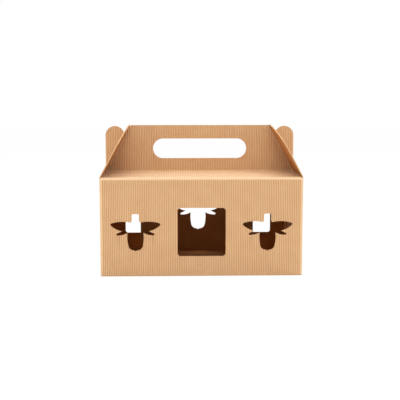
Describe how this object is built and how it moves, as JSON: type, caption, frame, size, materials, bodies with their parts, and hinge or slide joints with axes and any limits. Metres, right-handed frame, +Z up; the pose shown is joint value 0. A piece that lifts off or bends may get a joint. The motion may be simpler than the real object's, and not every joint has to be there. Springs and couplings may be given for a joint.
{
  "type": "corrugated gift box",
  "caption": "Gable-topped carry carton of fine ribbed kraft board, with a hand hole, a front window and bee cut-outs.",
  "frame": {"origin": "middle of the base, on the surface that the carton stands on", "axes": "+X along the width, towards the right end as seen from the front; +Y along the depth, from the front wall to the back; +Z up"},
  "size_m": [0.27, 0.18, 0.1983],
  "materials": {
    "kraft_board": "matt, ribbed outside"
  },
  "bodies": {
    "carton": {"carton_body": "kraft_board"},
    "left_end": {"left_end_flap": "kraft_board"},
    "right_end": {"right_end_flap": "kraft_board"},
    "left_window": {"left_window_flap": "kraft_board"},
    "right_window": {"right_window_flap": "kraft_board"}
  },
  "joints": [
    {"name": "left_end_fold", "type": "hinge", "parent": "carton", "child": "left_end", "pos_m": [-0.13425, 0, 0.1327], "axis": [0, -1, 0], "range_deg": [0, 118]},
    {"name": "right_end_fold", "type": "hinge", "parent": "carton", "child": "right_end", "pos_m": [0.13425, 0, 0.1327], "axis": [0, 1, 0], "range_deg": [0, 118]},
    {"name": "left_window_fold", "type": "hinge", "parent": "carton", "child": "left_window", "pos_m": [-0.04805, 0.08925, 0.06], "axis": [0, 0, 1], "range_deg": [-53, 37]},
    {"name": "right_window_fold", "type": "hinge", "parent": "carton", "child": "right_window", "pos_m": [0.04805, 0.08925, 0.06], "axis": [0, 0, -1], "range_deg": [-60, 30]}
  ]
}
